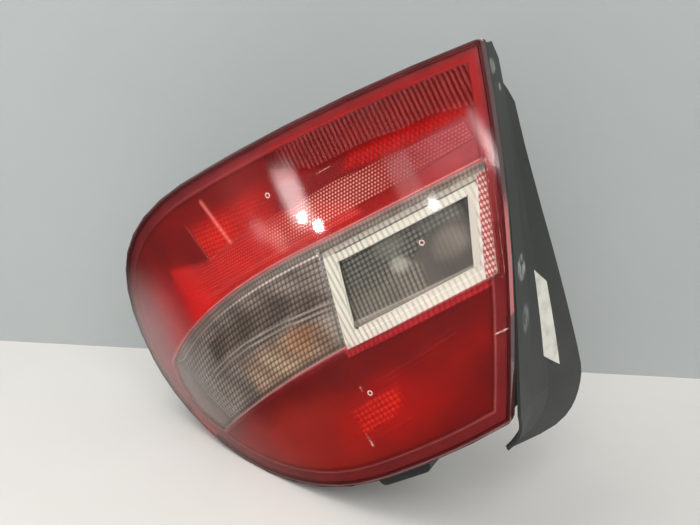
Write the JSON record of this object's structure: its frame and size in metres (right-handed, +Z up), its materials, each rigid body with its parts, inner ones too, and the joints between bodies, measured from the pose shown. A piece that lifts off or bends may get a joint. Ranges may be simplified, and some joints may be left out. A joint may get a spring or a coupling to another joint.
{
  "type": "tail light",
  "caption": "Wrap-round rear lamp cluster with a red lens, a curved clear signal band, a dark housing, a flared gutter cover and studs on its back that fix it to a car body.",
  "frame": {"origin": "midway between the two mounting studs, on the plane where the lamp's gasket meets the car body", "axes": "the car's own directions with the lamp on its left side: +X inboard along the line of the studs, +Y forward into the body along the studs, +Z up; the lens looks along -Y"},
  "size_m": [0.3772, 0.1324, 0.2714],
  "materials": {
    "red_acrylic": "clear-moulded, polished outside",
    "clear_acrylic": "clear-moulded, slightly hazed",
    "black_plastic": "fine grained, scuffed",
    "sealant": "matte",
    "foam": "open-cell foam",
    "metallised_plastic": "vacuum metallised",
    "holder_plastic": "fine grained",
    "contact_brass": "stamped strip",
    "zinc_steel": "zinc plated",
    "bulb_glass": "clear",
    "amber_glass": "amber lacquered",
    "cap_metal": "nickel plated",
    "paper": "printed paper, blank"
  },
  "bodies": {
    "root": {"red_lens": "red_acrylic", "clear_lens": "clear_acrylic", "reflex_reflector": "red_acrylic", "lens_seal": "sealant", "housing": "black_plastic", "gutter_cover": "black_plastic", "label": "paper", "reflector": "metallised_plastic", "bulb_holder": "holder_plastic", "holder_seal": "sealant", "contact_tracks": "contact_brass", "body_gasket": "foam", "breather_cap": "sealant", "mounting_studs": "zinc_steel", "stop_bulb_glass": "bulb_glass", "stop_bulb_cap": "cap_metal", "indicator_bulb_glass": "amber_glass", "indicator_bulb_cap": "cap_metal", "reversing_bulb_glass": "bulb_glass", "reversing_bulb_cap": "cap_metal", "fog_bulb_glass": "bulb_glass", "fog_bulb_cap": "cap_metal"}
  },
  "joints": []
}
